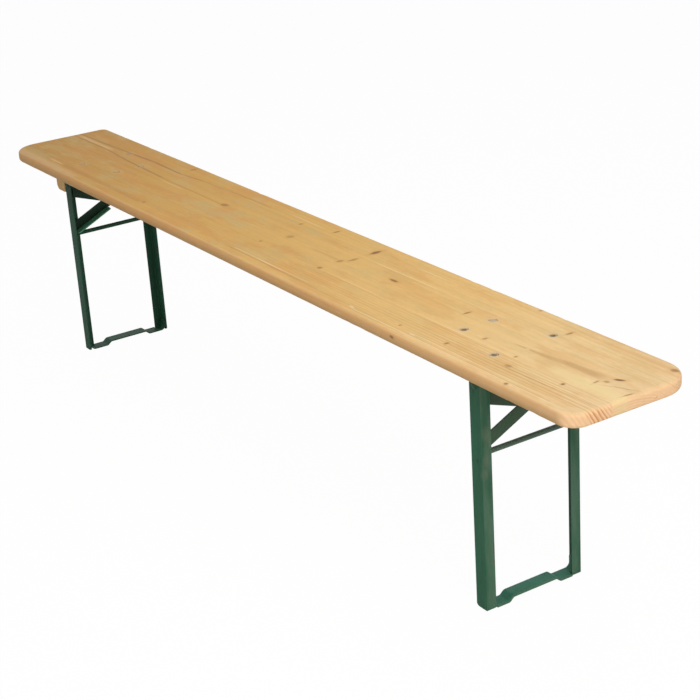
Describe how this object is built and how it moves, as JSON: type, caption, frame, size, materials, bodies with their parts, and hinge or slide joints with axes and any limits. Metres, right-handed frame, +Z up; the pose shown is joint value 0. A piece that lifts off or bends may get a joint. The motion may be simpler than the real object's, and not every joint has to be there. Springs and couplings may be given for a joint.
{
  "type": "folding bench",
  "caption": "Long solid-wood bench seat on green angle-steel leg frames that fold flat beneath it and lock with a stay sliding in a slotted rail.",
  "frame": {"origin": "on the ground, midway between the legs, below the middle of the seat board", "axes": "+X along the bench towards end a, +Z up, +Y across the seat towards the rear strip"},
  "size_m": [2.2, 0.27, 0.48],
  "materials": {
    "seat_pine": "oiled and worn, satin",
    "batten_pine": "plain planed, matt",
    "green_paint": "worn green paint, semi-gloss",
    "zinc_fastener": "dull zinc plating",
    "spring_steel": "dark tempered steel"
  },
  "bodies": {
    "seat": {"seat_strip_front": "seat_pine", "seat_strip_middle": "seat_pine", "seat_strip_rear": "seat_pine", "hinge_plate_a": "green_paint", "guide_rail_a": "green_paint", "snap_spring_a": "spring_steel", "end_batten_a": "batten_pine", "hinge_bolt_left_a": "zinc_fastener", "hinge_nut_left_a": "zinc_fastener", "hinge_bolt_right_a": "zinc_fastener", "hinge_nut_right_a": "zinc_fastener", "rail_bolt_left_a": "zinc_fastener", "rail_nut_left_a": "zinc_fastener", "rail_bolt_right_a": "zinc_fastener", "rail_nut_right_a": "zinc_fastener", "rail_screw_left_a": "zinc_fastener", "rail_screw_right_a": "zinc_fastener", "batten_screw_left_a": "zinc_fastener", "batten_screw_right_a": "zinc_fastener", "hinge_plate_b": "green_paint", "guide_rail_b": "green_paint", "snap_spring_b": "spring_steel", "end_batten_b": "batten_pine", "hinge_bolt_left_b": "zinc_fastener", "hinge_nut_left_b": "zinc_fastener", "hinge_bolt_right_b": "zinc_fastener", "hinge_nut_right_b": "zinc_fastener", "rail_bolt_left_b": "zinc_fastener", "rail_nut_left_b": "zinc_fastener", "rail_bolt_right_b": "zinc_fastener", "rail_nut_right_b": "zinc_fastener", "rail_screw_left_b": "zinc_fastener", "rail_screw_right_b": "zinc_fastener", "batten_screw_left_b": "zinc_fastener", "batten_screw_right_b": "zinc_fastener"},
    "leg_a": {"upright_left_a": "green_paint", "upright_right_a": "green_paint", "hinge_rivet_left_a": "green_paint", "hinge_rivet_right_a": "green_paint", "foot_strip_a": "green_paint", "cross_rod_a": "green_paint", "brace_angle_a": "green_paint", "brace_flat_a": "green_paint", "stay_clevis_a": "green_paint", "stay_rivet_a": "zinc_fastener"},
    "stay_a": {"stay_bar_a": "green_paint", "guide_pin_a": "zinc_fastener"},
    "leg_b": {"upright_left_b": "green_paint", "upright_right_b": "green_paint", "hinge_rivet_left_b": "green_paint", "hinge_rivet_right_b": "green_paint", "foot_strip_b": "green_paint", "cross_rod_b": "green_paint", "brace_angle_b": "green_paint", "brace_flat_b": "green_paint", "stay_clevis_b": "green_paint", "stay_rivet_b": "zinc_fastener"},
    "stay_b": {"stay_bar_b": "green_paint", "guide_pin_b": "zinc_fastener"}
  },
  "joints": [
    {"name": "leg_fold_a", "type": "hinge", "parent": "seat", "child": "leg_a", "pos_m": [0.818, 0, 0.436], "axis": [0, 1, 0], "range_deg": [0, 90]},
    {"name": "stay_swing_a", "type": "hinge", "parent": "leg_a", "child": "stay_a", "pos_m": [0.811, 0, 0.373], "axis": [0, 1, 0], "range_deg": [-115.62, 0]},
    {"name": "leg_fold_b", "type": "hinge", "parent": "seat", "child": "leg_b", "pos_m": [-0.818, 0, 0.436], "axis": [0, -1, 0], "range_deg": [0, 90]},
    {"name": "stay_swing_b", "type": "hinge", "parent": "leg_b", "child": "stay_b", "pos_m": [-0.811, 0, 0.373], "axis": [0, -1, 0], "range_deg": [-115.62, 0]}
  ],
  "couplings": [
    {"joint": "stay_swing_a", "follows": "leg_fold_a", "ratio": -1.2842},
    {"joint": "stay_swing_b", "follows": "leg_fold_b", "ratio": -1.2842}
  ]
}
